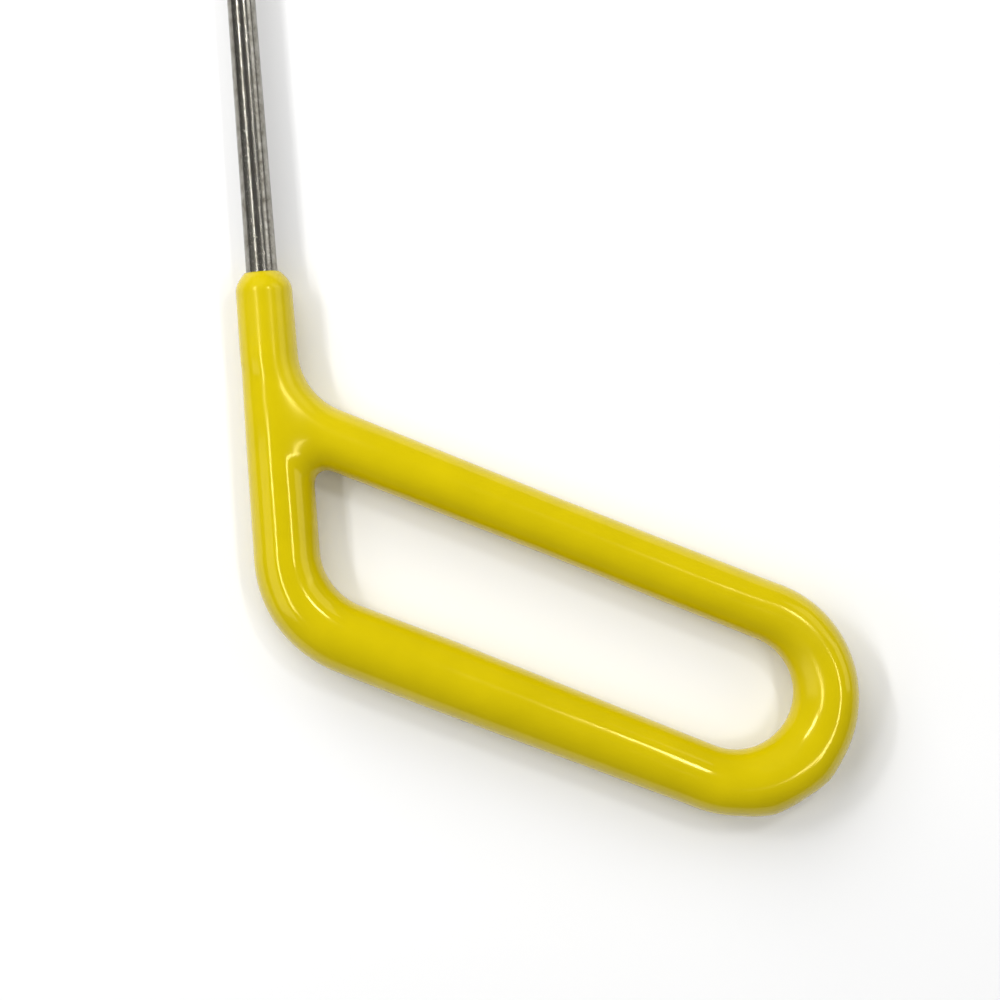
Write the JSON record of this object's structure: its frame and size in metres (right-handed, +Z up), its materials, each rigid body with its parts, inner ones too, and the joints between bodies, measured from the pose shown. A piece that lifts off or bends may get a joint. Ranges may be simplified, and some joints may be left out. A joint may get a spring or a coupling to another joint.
{
  "type": "loop-handled probe rod",
  "caption": "Hand probe with a long tapering steel shank and a slanted closed loop handle, dip-coated in thick yellow vinyl, for feeling for buried or hidden things.",
  "frame": {"origin": "centre of the underside of the whole tool as it lies flat, at floor level", "axes": "+Y along the shank towards the point, +X towards the far end of the loop handle, +Z up, square to the plane of the loop"},
  "size_m": [0.1498, 0.5006, 0.0182],
  "materials": {
    "steel_bar": "ground along its length, with fine marks and light pitting",
    "weld_metal": "as welded, wire-brushed",
    "yellow_vinyl": "glossy dip-moulded vinyl, slightly uneven"
  },
  "bodies": {
    "root": {"bent_bar": "steel_bar", "closing_weld": "weld_metal", "dipped_grip": "yellow_vinyl"}
  },
  "joints": []
}
